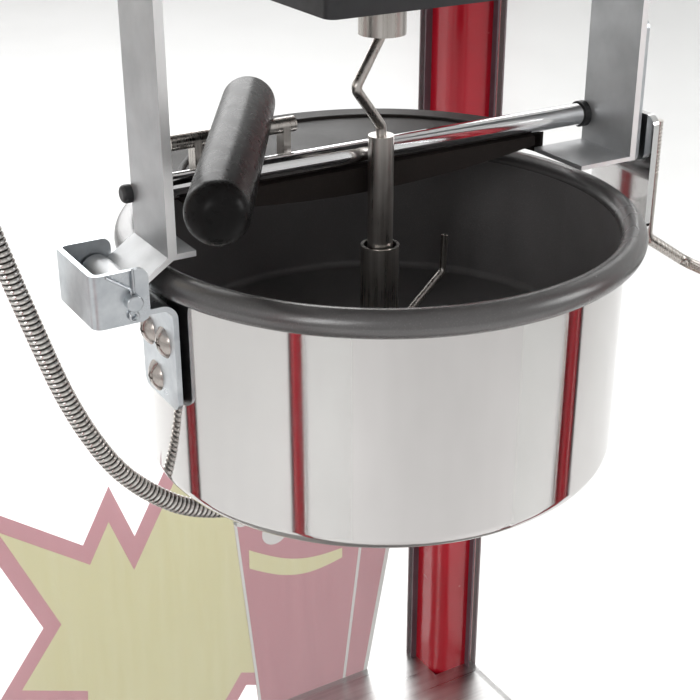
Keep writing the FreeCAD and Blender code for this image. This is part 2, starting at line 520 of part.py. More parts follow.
def hangers():
    """Two aluminium legs from the ceiling; the left one ends in the eye for the clevis pin."""
    top = CEIL_Z0 - KZ
    leg = box(LEFT_LEG_X0, LEFT_LEG_X1, HANG_Y0, HANG_Y1, 4.2, top)
    ledge = box(LEFT_LEG_X1 - 2, -88, HANG_Y0, HANG_Y1, 4.2, 6.3)
    corner_x, corner_z = -97.0, 5.2
    reach = V(PIN_X - corner_x, 0, PIN_Z - corner_z)
    slant = box(0, reach.Length, HANG_Y0, HANG_Y1, -1, 1)
    slant.rotate(V(0, 0, 0), V(0, 1, 0), math.degrees(math.atan2(-reach.z, reach.x)))
    slant.translate(V(corner_x, 0, corner_z))
    eye = cyl((PIN_X, HANG_Y0, PIN_Z), (0, 1, 0), 6, HANG_Y1 - HANG_Y0)
    ceiling_foot = box(LEFT_LEG_X1 - 1, -70, HANG_Y0, HANG_Y1, top - 4, top)
    left = leg.fuse(ledge).fuse(slant).fuse(eye).fuse(ceiling_foot).fuse(bar_lug(LEFT_LEG_X0, LEFT_LEG_X1))
    left = left.cut(cyl((PIN_X, HANG_Y0 - 1, PIN_Z), (0, 1, 0), PIN_R + FIT, HANG_Y1 - HANG_Y0 + 2))
    save("left_hanger", kettle_frame(left.cut(bar_bore())))

    leg = box(RIGHT_LEG_X0, RIGHT_LEG_X1, HANG_Y0, HANG_Y1 + 1, 7, top)
    foot = box(83.5, RIGHT_LEG_X1, HANG_Y0, HANG_Y1 + 1, 7, 8.8)
    ceiling_foot = box(85, RIGHT_LEG_X1, HANG_Y0, HANG_Y1 + 1, top - 4, top)
    right = leg.fuse(foot).fuse(ceiling_foot).fuse(bar_lug(RIGHT_LEG_X0, RIGHT_LEG_X1))
    save("right_hanger", kettle_frame(right.cut(bar_bore())))
    catch = rounded(box(RIGHT_LEG_X1 + 1, RIGHT_LEG_X1 + 4.4, -17, 7, 4, 64), 4, (1, 0, 0))
    for z in (34, 54):
        catch = catch.fuse(cyl((RIGHT_LEG_X1, -5, z), (1, 0, 0), 4, 2))
    save("catch_plate", kettle_frame(catch))


def bar_lug(x0, x1):
    """Round lug behind a hanger's leg, for the end of the lid's cross bar."""
    return cyl((x0, BAR_Y, BAR_Z), (1, 0, 0), JOURNAL_R + 1.4, x1 - x0)


def bar_bore():
    return cyl((LEFT_LEG_X0 - 1, BAR_Y, BAR_Z), (1, 0, 0), JOURNAL_R + FIT, RIGHT_LEG_X1 - LEFT_LEG_X0 + 2)


def lid():
    """Rear lid with its cross bar, which turns in the two hangers, and its lever."""
    end, washer = 0.4, 3.0
    bar_x0, bar_x1 = LEFT_LEG_X1 + end, RIGHT_LEG_X0 - washer - end
    bar = cyl((bar_x0, BAR_Y, BAR_Z), (1, 0, 0), BAR_R, bar_x1 - bar_x0)
    journals = cyl((LEFT_LEG_X0 - 0.5, BAR_Y, BAR_Z), (1, 0, 0), JOURNAL_R, RIGHT_LEG_X1 - LEFT_LEG_X0)
    save("lid_bar", kettle_frame(bar.fuse(journals)))
    collar = ring((RIGHT_LEG_X0 - washer, BAR_Y, BAR_Z), (1, 0, 0), BAR_R + 0.8, JOURNAL_R + FIT, washer)
    cap = cyl((LEFT_LEG_X0 - 3.6, BAR_Y, BAR_Z), (1, 0, 0), JOURNAL_R + 1.4, 3.6)
    cap = cap.makeFillet(1.6, edges_at(cap, 0, LEFT_LEG_X0 - 3.6))
    cap = cap.cut(cyl((LEFT_LEG_X0 - 1, BAR_Y, BAR_Z), (1, 0, 0), JOURNAL_R + FIT, 2))
    save("bar_spacer", kettle_frame(collar), kettle_frame(cap))
    save("lid_flap", kettle_frame(lid_flap()))
    lever()


def lid_flap():
    """Half-round pressed lid under the bar; its front skirt is deepest in the middle."""
    top, low, sheet = BAR_Z - BAR_R, 5.2, 1.4
    rear = box(-LID_R - 5, LID_R + 5, LID_FRONT, LID_R + 5, 0, 30)
    inner = box(-LID_R - 5, LID_R + 5, LID_FRONT + sheet, LID_R + 5, 0, 30)
    solid = cyl((0, 0, low), (0, 0, 1), LID_R, top - low).common(rear)
    hollow = cyl((0, 0, low - 1), (0, 0, 1), LID_R - sheet, top - low - sheet + 1).common(inner)
    flap = solid.cut(hollow)
    edge_x, edge_rise = 70.0, 4.8
    edge_r = (edge_x ** 2 + edge_rise ** 2) / (2 * edge_rise)
    skirt_arc = cyl((0, LID_FRONT - 2, low + edge_r), (0, 1, 0), edge_r, 6)
    below = box(-LID_R - 5, LID_R + 5, LID_FRONT - 1, LID_FRONT + sheet, 0, top - sheet)
    flap = flap.cut(below.cut(skirt_arc))
    for side in (-1, 1):
        x0, x1 = sorted((side * 80, side * (LID_R + 5)))
        flap = flap.cut(box(x0, x1, 0, HANG_Y1 + 2.5, 0, 30))
    bead_z = top - 0.4
    bead = Part.makeTorus(77, 1.6, V(0, 0, bead_z)).common(box(-90, 90, BAR_Y + BAR_R + 1, 90, bead_z, 30))
    return flap.fuse(bead)


def lever():
    """Black grip on a cross tube that stands on the lid with two tabs."""
    lid_top = BAR_Z - BAR_R
    tip, heel = V(-109, -82, 40), V(-40, 32, 40)
    tube_x0, tube_x1, tube_r = -79.0, -27.0, 3.0
    tube = cyl((tube_x0, LEVER_Y, LEVER_Z), (1, 0, 0), tube_r, tube_x1 - tube_x0)
    lever_rod = tube
    for x in (-70, -33):
        lever_rod = lever_rod.fuse(box(x, x + 3, LEVER_Y - tube_r, LEVER_Y + tube_r, lid_top, LEVER_Z))
    bore = cyl((tube_x0 - 1, LEVER_Y, LEVER_Z), (1, 0, 0), tube_r - 1, tube_x1 - tube_x0 + 2)
    save("lever_rod", kettle_frame(lever_rod.cut(bore)))
    along = (heel - tip).normalize()
    grip = Part.makeCylinder(10.3, (heel - tip).Length, tip, along)
    ends = [e for e in grip.Edges if e.Curve.TypeId == "Part::GeomCircle"]
    near_tip = min(ends, key=lambda e: (e.CenterOfMass - tip).Length)
    save("lever_grip", kettle_frame(grip.makeFillet(8.0, [near_tip]).cut(tube).cut(lever_rod)))


def drive():
    """Gear motor under the ceiling, its shaft with the bent wire, and the loose stirring sleeve."""
    top = CEIL_Z0 - KZ
    gearbox = rounded(box(-40, 40, -30, 30, 82, 118), 4, (0, 0, 1))
    motor = cyl((0, 0, 118), (0, 0, 1), 28, 42)
    plate = box(-48, 48, -34, 34, 160, top)
    housing = gearbox.fuse(motor).fuse(plate)
    save("drive_motor", kettle_frame(housing.cut(cyl((0, 0, 81), (0, 0, 1), 4 + FIT, 22))))

    shaft = cyl((0, 0, -21), (0, 0, 1), SHAFT_R, 50.4)
    wire = rod([(0, 0, 27), (0, 0, 33), (-14, -4, 50), (0, 0, 68), (0, 0, 76)], 2, 3)
    coupling = cyl((0, 0, 68), (0, 0, 1), 9, 12)
    spigot = cyl((0, 0, 79), (0, 0, 1), 4, 22)
    save("drive_shaft", kettle_frame(shaft.fuse(wire).fuse(coupling).fuse(spigot)))

    bottom = -POT_DEPTH + 0.4
    sleeve = ring((0, 0, bottom), (0, 0, 1), SLEEVE_R, SLEEVE_BORE, -15 - bottom)
    finger = rod([(6.6, 3.0, -57.5), (25, 11.5, -50.5), (44.4, 20, -42.5), (45.1, 20, -26.2)], 1.5, 3)
    sleeve = sleeve.fuse(finger)
    for side in (-1, 1):
        sweep = rod([(side * -6.6, side * 2.5, -58.2), (side * -38, side * 16, -58.2),
                     (side * -70, side * 8, -58.2)], 2, 40)
        sleeve = sleeve.fuse(sweep)
    save("stir_sleeve", kettle_frame(sleeve.cut(cyl((0, 0, -70), (0, 0, 1), SLEEVE_BORE, 60))))


def lead():
    """Armoured lead of runs joined by arcs, each arc as large as its two runs allow, and its angled gland."""
    def largest(before, corner, after, turn):
        shorter = min((corner - before).Length, (after - corner).Length)
        radius = 0.45 * shorter / math.tan(turn / 2)
        print("lead arc radius", round(radius, 1))
        return radius
    path = bent_path(ROUTE, largest)
    profile = Part.Wire([Part.makeCircle(LEAD_R, V(*ROUTE[0]), V(0, 0, 1))])
    tube = path.makePipeShell([profile], True, True)
    section = math.pi * LEAD_R ** 2
    ratio = tube.Volume / (section * path.Length)
    print("lead length", round(path.Length, 1), "volume ratio", round(ratio, 4))
    save("power_cable", kettle_frame(tube))

    x, y = GLAND_X, GLAND_Y
    end_x, _, end_z = ROUTE[-1]
    body_top = -KETTLE_H - 6
    nipple = cyl((x, y, end_z), (0, 0, 1), 7, -KETTLE_H + 8 - end_z)
    body = cyl((x, y, end_z - 8), (0, 0, 1), 9, body_top - end_z + 8)
    outlet = cyl((end_x, y, end_z), (1, 0, 0), 8, x - end_x)
    collar = cyl((end_x, y, end_z), (1, 0, 0), 9.5, 9)
    nut = hexagon(x, y, body_top, 12, 6.9)
    locknut = hexagon(x, y, -KETTLE_H + 2.5, 11, 3.5)
    save("cable_gland", kettle_frame(nipple.fuse(body).fuse(outlet).fuse(collar).fuse(nut).fuse(locknut)))


base()
cabinet()
roof()
kettle_body()
left_bracket()
right_bracket()
bracket_screws()
hangers()
lid()
drive()
lead()
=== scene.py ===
import json
import math

import bpy
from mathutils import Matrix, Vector


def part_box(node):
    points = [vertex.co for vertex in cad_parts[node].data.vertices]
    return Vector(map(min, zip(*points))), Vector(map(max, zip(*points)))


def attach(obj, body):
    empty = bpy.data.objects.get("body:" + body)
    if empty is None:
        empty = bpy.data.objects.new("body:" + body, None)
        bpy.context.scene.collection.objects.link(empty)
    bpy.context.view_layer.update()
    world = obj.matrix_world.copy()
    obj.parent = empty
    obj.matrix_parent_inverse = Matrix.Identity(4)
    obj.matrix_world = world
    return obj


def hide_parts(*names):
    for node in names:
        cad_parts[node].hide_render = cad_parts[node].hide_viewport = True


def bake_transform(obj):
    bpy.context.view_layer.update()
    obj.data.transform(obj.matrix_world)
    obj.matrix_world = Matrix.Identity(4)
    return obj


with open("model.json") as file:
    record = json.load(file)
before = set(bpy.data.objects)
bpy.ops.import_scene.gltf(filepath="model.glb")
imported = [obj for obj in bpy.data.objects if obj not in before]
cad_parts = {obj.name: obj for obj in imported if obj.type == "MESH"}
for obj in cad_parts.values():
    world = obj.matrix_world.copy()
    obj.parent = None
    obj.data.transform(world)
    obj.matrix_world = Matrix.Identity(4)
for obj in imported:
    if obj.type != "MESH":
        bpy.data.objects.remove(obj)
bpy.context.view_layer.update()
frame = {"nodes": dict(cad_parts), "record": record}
nodes = frame["nodes"]

# The kettle's own frame: its axis, and the height just above its rolled rim.
RIM_CLEARANCE = 0.0004
rim_low, rim_high = (Vector(corner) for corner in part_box("kettle_rim"))
KETTLE = (rim_low + rim_high) / 2
KETTLE.z = rim_high.z + RIM_CLEARANCE


def at(x, y, z):
    """A point given in millimetres from the kettle's frame, as metres in the cart's frame."""
    return KETTLE + Vector((x, y, z)) * 0.001


# ---------------------------------------------------------------- camera
HEADING, PITCH = 30.83, 25.26
LENS, SENSOR = 69.8, 36
CAMERA_PLACE = (-268.1, -426.0, 176.1)


def add_camera():
    data = bpy.data.cameras.new("camera")
    data.lens = LENS
    data.sensor_width = SENSOR
    data.clip_start = 0.01
    camera = bpy.data.objects.new("camera", data)
    camera.location = at(*CAMERA_PLACE)
    camera.rotation_euler = (math.radians(90 - PITCH), 0, math.radians(-HEADING))
    bpy.context.scene.collection.objects.link(camera)
    bpy.context.scene.camera = camera


add_camera()


# ---------------------------------------------------------------- small helpers
def mesh_object(name, points, faces, smooth=True):
    mesh = bpy.data.meshes.new(name)
    mesh.from_pydata([tuple(p) for p in points], [], faces)
    mesh.validate()
    for polygon in mesh.polygons:
        polygon.use_smooth = smooth
    piece = bpy.data.objects.new(name, mesh)
    bpy.context.scene.collection.objects.link(piece)
    return piece


class Look:
    """One procedural material: a Principled shader and the textures linked to it."""

    def __init__(self, name, **sockets):
        self.material = bpy.data.materials.new(name)
        self.material.use_nodes = True
        self.tree = self.material.node_tree
        self.shader = self.tree.nodes["Principled BSDF"]
        for socket, value in sockets.items():
            self.shader.inputs[socket.replace("_", " ")].default_value = value
        self.place = self.node("ShaderNodeTexCoord").outputs["Object"]
        self.normal = None

    def node(self, kind, inputs=None, **settings):
        made = self.tree.nodes.new(kind)
        for key, value in settings.items():
            setattr(made, key, value)
        for key, value in (inputs or {}).items():
            if isinstance(value, bpy.types.NodeSocket):
                self.tree.links.new(value, made.inputs[key])
            else:
                made.inputs[key].default_value = value
        return made

    def noise(self, scale, stretch=(1, 1, 1), detail=4.0, rough=0.55):
        """Noise over the piece's own place in metres; scale is in waves per metre."""
        mapped = self.node("ShaderNodeMapping", {"Vector": self.place, "Scale": stretch})
        made = self.node("ShaderNodeTexNoise", {"Vector": mapped.outputs[0], "Scale": scale,
                                                "Detail": detail, "Roughness": rough})
        return made.outputs["Fac"]

    def span(self, value, low, high, start=0.3, end=0.7):
        """Value from start to end, spread over low to high."""
        made = self.node("ShaderNodeMapRange", {"Value": value, "From Min": start, "From Max": end,
                                                "To Min": low, "To Max": high})
        return made.outputs[0]

    def blend(self, factor, first, second):
        made = self.node("ShaderNodeMix", data_type="RGBA")
        for index, value in ((0, factor), (6, first), (7, second)):
            if isinstance(value, bpy.types.NodeSocket):
                self.tree.links.new(value, made.inputs[index])
            else:
                made.inputs[index].default_value = value if index == 0 else (*value, 1)
        return made.outputs[2]

    def math(self, operation, a, b=0.0):
        return self.node("ShaderNodeMath", {0: a, 1: b}, operation=operation).outputs[0]

    def xyz(self):
        return self.node("ShaderNodeSeparateXYZ", {"Vector": self.place}).outputs

    def facing(self, axis):
        """How squarely the surface faces along axis 0, 1 or 2 of the model, from 0 to 1."""
        normal = self.node("ShaderNodeTexCoord").outputs["Normal"]
        part = self.node("ShaderNodeSeparateXYZ", {"Vector": normal}).outputs[axis]
        return self.math("ABSOLUTE", part)

    def colour(self, value):
        self.tree.links.new(value, self.shader.inputs["Base Color"])

    def roughness(self, value):
        self.tree.links.new(value, self.shader.inputs["Roughness"])

    def bump(self, height, depth, strength=1.0):
        """Adds relief of that depth in metres on top of what the look already has."""
        inputs = {"Height": height, "Distance": depth, "Strength": strength}
        if self.normal is not None:
            inputs["Normal"] = self.normal
        self.normal = self.node("ShaderNodeBump", inputs).outputs[0]
        self.tree.links.new(self.normal, self.shader.inputs["Normal"])


# ---------------------------------------------------------------- materials
CROWN_LAYER = "crown"
STRIPE_REPEAT = 0.049
RED_DARK, RED_LIGHT = (0.26, 0.004, 0.008), (0.36, 0.008, 0.014)
UPRIGHT = (1, 1, 0.02)
LENGTHWISE = (0.02, 1, 1)
EVEN = (1, 1, 1)


def enamel(name, dark, light, rough, coat=0.5):
    """Sprayed gloss paint: orange peel, a little dust and soft colour changes."""
    look = Look(name, Coat_Weight=coat, Coat_Roughness=0.08)
    look.colour(look.blend(look.span(look.noise(9), 0, 1), dark, light))
    dust = look.noise(55, detail=8)
    look.roughness(look.span(dust, rough, rough + 0.14))
    look.bump(look.noise(420, detail=2), 0.000012)
    look.bump(look.noise(14), 0.0004, 0.2)
    return look.material


def brushed(name, dark, light, rough, stretch, scale=260):
    """Metal with fine lines along the axis that has the smallest stretch."""
    look = Look(name, Metallic=1.0)
    lines = look.noise(scale, stretch, detail=6, rough=0.7)
    patches = look.noise(18, detail=5)
    shade = look.math("ADD", look.math("MULTIPLY", lines, 0.6), look.math("MULTIPLY", patches, 0.4))
    look.colour(look.blend(look.span(shade, 0, 1, 0.36, 0.64), dark, light))
    look.roughness(look.span(shade, rough, rough + 0.16, 0.36, 0.64))
    look.bump(lines, 0.00003)
    return look.material


def mirror(name, light, dark, rough):
    """Polished sheet: faint drawing lines, slow waves and duller patches."""
    look = Look(name, Metallic=1.0)
    wipe = look.noise(7, detail=5)
    look.colour(look.blend(look.span(wipe, 0, 1), dark, light))
    lines = look.noise(900, (1, 1, 0.02), detail=3)
    look.roughness(look.span(look.noise(30, (1, 1, 0.25), detail=7), rough, rough + 0.07))
    look.bump(lines, 0.000004)
    look.bump(look.noise(11, detail=1), 0.0005, 0.25)
    return look.material


def non_stick(name, dark, light, rough, shine=0.75, grain_depth=0.00006):
    """Sprayed non-stick coating: fine grain with paler specks, worn a little smoother in patches."""
    look = Look(name, Specular_IOR_Level=shine)
    grain = look.noise(1900, detail=3, rough=0.7)
    speck = look.span(grain, 0, 1, 0.56, 0.74)
    tone = look.blend(look.span(look.noise(16, detail=5), 0, 1), dark, light)
    pale = tuple(2.2 * channel for channel in light)
    look.colour(look.blend(look.math("MULTIPLY", speck, 0.35), tone, pale))
    look.roughness(look.span(look.noise(24, detail=6), rough, rough + 0.12))
    look.bump(grain, grain_depth)
    look.bump(look.noise(500, (1, 1, 0.3), detail=2), 0.00003)
    return look.material


def extruded_aluminium(name):
    """Matt drawn faces with lengthwise lines, and bright sawn faces at the front and back."""
    look = Look(name, Metallic=0.85)
    drawn = look.noise(700, (1, 1, 0.03), detail=4)
    sawn = look.noise(1500, (1, 1, 0.05), detail=5, rough=0.8)
    end = look.span(look.facing(1), 0, 1, 0.7, 0.95)
    cloud = look.span(look.noise(60, detail=6), 0, 1)
    body = look.blend(cloud, (0.44, 0.45, 0.46), (0.54, 0.55, 0.56))
    look.colour(look.blend(end, body, (0.93, 0.93, 0.93)))
    look.roughness(look.span(look.noise(90, detail=6), 0.38, 0.52))
    look.bump(drawn, 0.00003)
    look.bump(look.math("MULTIPLY", sawn, end), 0.00006)
    return look.material


def zinc(name):
    """Bright zinc plate: cool and slightly cloudy."""
    look = Look(name, Metallic=1.0)
    cloud = look.noise(120, detail=7, rough=0.65)
    look.colour(look.blend(look.span(cloud, 0, 1), (0.48, 0.51, 0.54), (0.64, 0.67, 0.69)))
    look.roughness(look.span(look.noise(45, detail=6), 0.24, 0.38))
    look.bump(look.noise(800, detail=4), 0.000012)
    look.bump(look.noise(40), 0.0001, 0.3)
    return look.material


def grip(name):
    """Moulded black phenolic: soft gloss, faint flow marks and handling wear."""
    look = Look(name, Specular_IOR_Level=0.07)
    cloud = look.span(look.noise(30, detail=5), 0, 1)
    look.colour(look.blend(cloud, (0.005, 0.005, 0.005), (0.013, 0.012, 0.012)))
    look.roughness(look.span(look.noise(140, detail=8, rough=0.7), 0.24, 0.32))
    look.bump(look.noise(90, detail=3), 0.00003, 0.3)
    return look.material


def moulded(name, dark, light, rough):
    """Textured plastic or rubber."""
    look = Look(name)
    look.colour(look.blend(look.span(look.noise(40, detail=6), 0, 1), dark, light))
    look.roughness(look.span(look.noise(200, detail=5), rough, rough + 0.15))
    look.bump(look.noise(1400, detail=2), 0.00005)
    return look.material


def glass(name):
    """Clear pane: greener and more mirror-like at a slant, with faint wipe marks."""
    look = Look(name, Roughness=0.03, Base_Color=(0.90, 0.96, 0.93, 1))
    slant = look.node("ShaderNodeLayerWeight", {"Blend": 0.25}).outputs["Facing"]
    wipe = look.span(look.noise(5, (1, 1, 0.4), detail=8), 0.0, 0.03)
    cover = look.math("ADD", look.span(slant, 0.05, 0.35, 0, 1), wipe)
    look.tree.links.new(cover, look.shader.inputs["Alpha"])
    look.bump(look.noise(2.5), 0.0004, 0.1)
    return look.material


def vinyl(name, dark, light):
    """Printed film on the glass, which lets a little of what is behind it through."""
    look = Look(name, Roughness=0.45, Alpha=0.86)
    look.colour(look.blend(look.span(look.noise(160, (1, 1, 0.1), detail=5), 0, 1), dark, light))
    look.bump(look.noise(300, detail=3), 0.00002)
    return look.material


def striped_sign(name):
    """Lit sign panel with plain upright stripes and no lettering."""
    look = Look(name, Roughness=0.25, Emission_Strength=0.25)
    wave = look.math("SINE", look.math("MULTIPLY", look.xyz()[0], 2 * math.pi / STRIPE_REPEAT))
    stripe = look.span(wave, 0, 1, -0.06, 0.06)
    shade = look.blend(look.span(look.noise(20), 0, 1), (0.86, 0.72, 0.40), (0.93, 0.82, 0.52))
    striped = look.blend(stripe, shade, (0.5, 0.015, 0.02))
    look.colour(striped)
    look.tree.links.new(striped, look.shader.inputs["Emission Color"])
    look.bump(look.noise(600), 0.00002)
    return look.material


def bulb(name):
    """Opal glass that glows warm."""
    look = Look(name, Roughness=0.35, Alpha=0.9, Emission_Strength=0.8, Emission_Color=(1, 0.86, 0.62, 1))
    look.colour(look.blend(look.span(look.noise(80), 0, 1), (0.93, 0.88, 0.78), (1.0, 0.97, 0.9)))
    look.bump(look.noise(900), 0.00002)
    return look.material


def armour(name):
    """Interlocked stainless strip: bright crowns, and grooves painted near-black as their shade."""
    look = Look(name, Metallic=1.0)
    crown = look.node("ShaderNodeAttribute", attribute_name=CROWN_LAYER).outputs["Fac"]
    cloud = look.span(look.noise(350, detail=6), 0, 1)
    steel = look.blend(cloud, (0.56, 0.53, 0.50), (0.88, 0.86, 0.83))
    # Painted shade: where the crown value falls towards the groove, the steel colour gives way to
    # near-black.
    look.colour(look.blend(look.span(crown, 0, 1, 0.4, 0.95), (0.018, 0.016, 0.014), steel))
    look.roughness(look.span(look.noise(220, detail=5), 0.14, 0.34))
    look.bump(look.noise(2000, detail=3), 0.00002)
    return look.material


LOOKS = {
    "red_paint": enamel("red_paint", RED_DARK, RED_LIGHT, 0.24),
    "wheel_paint": enamel("wheel_paint", RED_DARK, RED_LIGHT, 0.26),
    "red_post": enamel("red_post", (0.36, 0.003, 0.012), (0.46, 0.005, 0.020), 0.14, 0.35),
    "motor_paint": moulded("motor_paint", (0.02, 0.02, 0.022), (0.04, 0.04, 0.043), 0.45),
    "steel_sheet": brushed("steel_sheet", (0.46, 0.46, 0.46), (0.66, 0.66, 0.65), 0.26, LENGTHWISE),
    "galvanised": brushed("galvanised", (0.42, 0.44, 0.46), (0.62, 0.64, 0.66), 0.34, EVEN, 90),
    "steel_rod": brushed("steel_rod", (0.40, 0.37, 0.34), (0.66, 0.63, 0.60), 0.22, UPRIGHT, 700),
    "zinc": zinc("zinc"),
    "polished_shell": mirror("polished_shell", (0.66, 0.645, 0.635), (0.58, 0.565, 0.555), 0.035),
    "polished_bracket": mirror("polished_bracket", (0.80, 0.80, 0.80), (0.70, 0.70, 0.70), 0.06),
    "chrome": mirror("chrome", (0.84, 0.84, 0.85), (0.76, 0.76, 0.77), 0.05),
    "pot_coating": non_stick("pot_coating", (0.100, 0.095, 0.095), (0.150, 0.143, 0.143), 0.34,
                             grain_depth=0.00012),
    "rim_coating": non_stick("rim_coating", (0.055, 0.052, 0.052), (0.080, 0.076, 0.076), 0.17, 1.0),
    "lid_coating": non_stick("lid_coating", (0.017, 0.014, 0.013), (0.027, 0.022, 0.020), 0.42, 0.12),
    "cast_aluminium": extruded_aluminium("cast_aluminium"),
    "black_grip": grip("black_grip"),
    "black_plastic": moulded("black_plastic", (0.012, 0.012, 0.013), (0.024, 0.024, 0.026), 0.38),
    "rubber": moulded("rubber", (0.012, 0.012, 0.012), (0.026, 0.025, 0.024), 0.62),
    "tyre": moulded("tyre", (0.014, 0.014, 0.014), (0.030, 0.029, 0.028), 0.66),
    "pane_glass": glass("pane_glass"),
    "door_glass": glass("door_glass"),
    "bulb": bulb("bulb"),
    "armour": armour("armour"),
    "sign": striped_sign("sign"),
    "gasket": moulded("gasket", (0.085, 0.050, 0.062), (0.125, 0.080, 0.095), 0.4),
    "nickel": mirror("nickel", (0.50, 0.46, 0.43), (0.34, 0.30, 0.28), 0.16),
    "rocker": enamel("rocker", (0.42, 0.006, 0.008), (0.55, 0.012, 0.016), 0.18),
}
# Nodes whose look is finer than their slot's.
OWN_LOOKS = {"pane_gaskets": "gasket", "bracket_screws": "nickel"}


def dress_cad_nodes():
    for entry in frame["record"]["subparts"]:
        piece = nodes[entry["node"]]
        look = LOOKS[OWN_LOOKS.get(entry["node"], entry["material_slot"])]
        for material_slot in piece.material_slots:
            material_slot.material = look


dress_cad_nodes()

# ---------------------------------------------------------------- armoured lead
# The route runs from the ceiling socket to the gland, in millimetres from the kettle's frame.
# The other sizes are in metres.
ROUTE = [(-166, 20, 158), (-166, 20, 118), (-162, 20, 77), (-154.6, 20, 39), (-145.8, 20, 5),
         (-137.5, 20, -24), (-124.6, 20, -67), (-104.6, 20, -104), (-68.3, 20, -131), (-30, 20, -131)]
LEAD_R = 0.004
STRIP_PITCH = 0.0022
GROOVE = 0.0008
CROWN_FLATNESS = 0.55
AROUND = 28
STEPS_PER_SPAN = 170


def route_line():
    """Points of the smooth line through the lead, read from its NURBS spline."""
    curve = bpy.data.curves.new("lead_route", "CURVE")
    curve.dimensions = "3D"
    spline = curve.splines.new("NURBS")
    spline.points.add(len(ROUTE) - 1)
    for point, place in zip(spline.points, ROUTE):
        point.co = (*at(*place), 1)
    spline.order_u = 3
    spline.use_endpoint_u = True
    spline.resolution_u = STEPS_PER_SPAN
    holder = bpy.data.objects.new("lead_route", curve)
    bpy.context.scene.collection.objects.link(holder)
    mesh = bpy.data.meshes.new_from_object(holder)
    line = [v.co.copy() for v in mesh.vertices]
    bpy.data.objects.remove(holder)
    bpy.data.meshes.remove(mesh)
    return line


def add_lead():
    """Corrugated tube: a helical groove between rounded crowns, along the smooth line."""
    line = route_line()
    points, faces, crowns = [], [], []
    side = Vector((0, 1, 0))
    travelled = 0.0
    for index, place in enumerate(line):
        ahead = line[min(index + 1, len(line) - 1)] - line[max(index - 1, 0)]
        ahead.normalize()
        side = (side - ahead * side.dot(ahead)).normalized()
        across = ahead.cross(side)
        if index:
            travelled += (place - line[index - 1]).length
        for step in range(AROUND):
            angle = 2 * math.pi * step / AROUND
            turn = travelled / STRIP_PITCH + step / AROUND
            crown = abs(math.sin(math.pi * turn)) ** CROWN_FLATNESS
            crowns.append(crown)
            radius = LEAD_R - GROOVE * (1 - crown)
            points.append(place + (side * math.cos(angle) + across * math.sin(angle)) * radius)
    for ring in range(len(line) - 1):
        for step in range(AROUND):
            a, b = ring * AROUND + step, ring * AROUND + (step + 1) % AROUND
            faces.append((a, b, b + AROUND, a + AROUND))
    faces.append(tuple(reversed(range(AROUND))))
    faces.append(tuple(range(len(points) - AROUND, len(points))))
    lead = mesh_object("armoured_lead", points, faces)
    layer = lead.data.attributes.new(CROWN_LAYER, "FLOAT", "POINT")
    layer.data.foreach_set("value", crowns)
    lead.data.materials.append(LOOKS["armour"])
    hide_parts("power_cable")
    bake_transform(lead)


add_lead()

# ---------------------------------------------------------------- printed film on the customer's pane
# Outlines in millimetres across and up from the kettle's frame.
BURST = [(-139, -186), (-73, -237), (-55.6, -204.7), (-43, -241), (-10, -182), (14, -212),
         (52, -190), (60, -250), (100, -292), (68, -338), (84, -398), (22, -372), (-10, -418),
         (-44, -372), (-92, -404), (-88, -340), (-130, -322), (-100, -282)]
BORDER = 9.0
TUB_TOP, TUB_LOW = -226, -400
# Where a line starts at the tub's top and ends at its foot.
TUB_LEFT, TUB_RIGHT, TUB_STRIPE = (15.5, 31), (140.5, 109), (112, 90.5)
# Where each white line runs, how wide it is, and on which side of there it lies.
TUB_LINES = {
    "tub_left_edge": (TUB_LEFT, 1.8, 1),
    "tub_right_edge": (TUB_RIGHT, 3.0, -1),
    "tub_stripe": (TUB_STRIPE, 2.0, 1),
}
# Colour, place and radius of each kernel.
KERNELS = [("white", 44.5, -267, 8.5), ("yellow", 49, -264, 5.5),
           ("white", 24, -250, 6.5), ("white", 70, -262, 8)]
CRESCENT_X = (27, 91)
# Height at the left end, fall to the right end, and sag between them.
CRESCENT_TOP, CRESCENT_LOW = (-274, 20, 7), (-287, 14, 8.5)
CRESCENT_STEPS = 16
DISC_STEPS = 24
# A layer's thickness in metres, and how much of it the film fills.
FILM = 0.00015
FILM_FILL = 0.8
# Layers counted from the glass; the backing is in the middle of the stack.
FRONT_LAYER, DETAIL_LAYER, TUB_LAYER, MIDDLE_LAYER, BACKING = range(5)


def inset(outline, distance):
    """Moves each side of an outline, listed clockwise, inwards by that distance."""
    moved = []
    count = len(outline)
    for index in range(count):
        before, here, after = (Vector(outline[(index + k) % count]) for k in (-1, 0, 1))
        into, out = (here - before).normalized(), (after - here).normalized()
        first, second = Vector((into.y, -into.x)), Vector((out.y, -out.x))
        miter = (first + second) / (1 + first.dot(second))
        moved.append(tuple(here + miter * distance))
    return moved


def film(name, outline, layer, look):
    """Thin film on the pane's outer face, on both sides of the backing so that each side shows it."""
    face_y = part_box("cabinet_panes")[1][1]
    count = len(outline)
    points, faces = [], []
    for level in sorted({layer, 2 * BACKING - layer}):
        first = len(points)
        for y in (face_y + level * FILM, face_y + (level + FILM_FILL) * FILM):
            for x, z in outline:
                place = at(x, 0, z)
                points.append((place.x, y, place.z))
        faces.append(tuple(range(first, first + count)))
        faces.append(tuple(reversed(range(first + count, first + 2 * count))))
        for k in range(count):
            n = (k + 1) % count
            faces.append((first + k, first + k + count, first + n + count, first + n))
    piece = mesh_object(name, points, faces, smooth=False)
    piece.data.materials.append(look)
    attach(piece, "cart")


def crescent():
    """Smile-shaped band that hangs from its left end down to its right end."""
    left, right = CRESCENT_X
    edges = []
    for height, fall, sag in (CRESCENT_TOP, CRESCENT_LOW):
        edge = []
        for k in range(CRESCENT_STEPS + 1):
            t = k / CRESCENT_STEPS
            edge.append((left + (right - left) * t, height - fall * t - sag * math.sin(math.pi * t)))
        edges.append(edge)
    upper, lower = edges
    return upper + lower[::-1]


